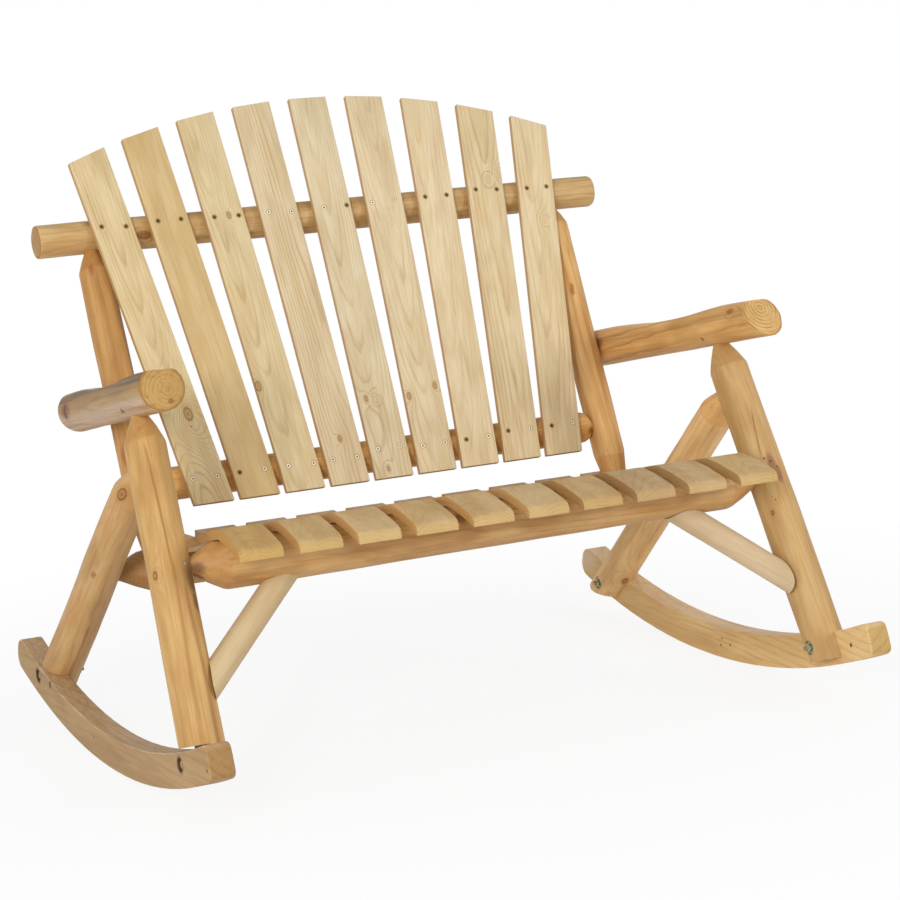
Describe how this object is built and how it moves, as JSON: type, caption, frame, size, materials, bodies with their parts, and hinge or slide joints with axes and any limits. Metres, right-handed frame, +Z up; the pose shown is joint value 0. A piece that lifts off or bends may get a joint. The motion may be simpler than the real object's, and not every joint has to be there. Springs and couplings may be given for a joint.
{
  "type": "rocking bench",
  "caption": "Two-seat garden rocking bench of peeled logs, with a dished slat seat, a fan-shaped slat back, log arms and two curved runners.",
  "frame": {"origin": "centre of the bounding box, on the floor that the two runners stand on at rest", "axes": "+X to the right of somebody standing in front of the bench and looking at it, +Y from the front towards the back, +Z up"},
  "size_m": [1.252, 1.0418, 1.0933],
  "materials": {
    "log_wood": "clear stain on peeled pine or fir, honey coloured, half matt",
    "seat_wood": "clear stain on sawn boards, half matt",
    "straw_wood": "clear stain on planed boards, straw coloured, half matt",
    "pale_wood": "clear stain on sawn wood, pale, half matt",
    "zinc_steel": "yellow zinc plating, dull",
    "dark_steel": "dark weathered zinc plating"
  },
  "bodies": {
    "root": {"runner_left": "pale_wood", "runner_right": "pale_wood", "front_leg_left": "log_wood", "front_leg_right": "log_wood", "rear_leg_left": "log_wood", "rear_leg_right": "log_wood", "arm_left": "log_wood", "arm_right": "log_wood", "back_post_left": "log_wood", "back_post_right": "log_wood", "brace_left": "pale_wood", "brace_right": "pale_wood", "front_beam": "log_wood", "rear_beam": "log_wood", "top_rail": "log_wood", "low_rail": "log_wood", "seat_slat_1": "seat_wood", "seat_slat_2": "seat_wood", "seat_slat_3": "seat_wood", "seat_slat_4": "seat_wood", "seat_slat_5": "seat_wood", "seat_slat_6": "seat_wood", "seat_slat_7": "seat_wood", "seat_slat_8": "seat_wood", "seat_slat_9": "seat_wood", "seat_slat_10": "seat_wood", "back_slat_1": "straw_wood", "back_slat_2": "straw_wood", "back_slat_3": "straw_wood", "back_slat_4": "straw_wood", "back_slat_5": "straw_wood", "back_slat_6": "straw_wood", "back_slat_7": "straw_wood", "back_slat_8": "straw_wood", "back_slat_9": "straw_wood", "front_bolt_left": "dark_steel", "front_bolt_right": "dark_steel", "rear_bolt_left": "dark_steel", "rear_bolt_right": "dark_steel", "front_washer_left": "zinc_steel", "front_washer_right": "zinc_steel", "rear_washer_left": "zinc_steel", "rear_washer_right": "zinc_steel", "front_nut_left": "zinc_steel", "front_nut_right": "zinc_steel", "rear_nut_left": "zinc_steel", "rear_nut_right": "zinc_steel", "arm_pin_left": "dark_steel", "arm_pin_right": "dark_steel", "beam_pin_left": "dark_steel", "beam_pin_right": "dark_steel", "lag_bolt_left": "zinc_steel", "lag_bolt_right": "zinc_steel"}
  },
  "joints": []
}
